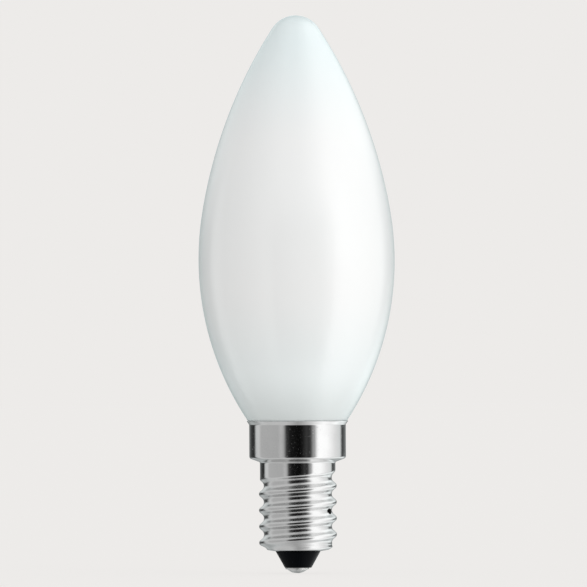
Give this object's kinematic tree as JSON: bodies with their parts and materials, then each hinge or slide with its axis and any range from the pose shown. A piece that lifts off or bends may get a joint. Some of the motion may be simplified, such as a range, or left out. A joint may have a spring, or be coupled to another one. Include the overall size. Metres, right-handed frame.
{
  "type": "candle bulb",
  "caption": "Candle-shaped light bulb: a long opal glass envelope with a small round tip, seated in a bright plated small screw cap with a black insulator and a soldered centre contact.",
  "frame": {"origin": "lowest point of the centre contact, on the bulb's axis, where a lamp holder's centre spring meets it", "axes": "+Z along the bulb's axis from the centre contact to the glass tip; +X to the right of the pictured side, where the first thread groove starts"},
  "size_m": [0.034, 0.034, 0.097],
  "materials": {
    "opal_glass": "opal white with a satin gloss",
    "plated_cap": "bright nickel plate with fine handling marks",
    "cement": "matt set paste",
    "black_glass": "glossy black",
    "eyelet_brass": "bright pressed brass",
    "solder": "smooth dull silver solder"
  },
  "bodies": {
    "root": {"glass_envelope": "opal_glass", "screw_cap": "plated_cap", "capping_cement": "cement", "insulator": "black_glass", "contact_eyelet": "eyelet_brass", "solder_tip": "solder"}
  },
  "joints": []
}
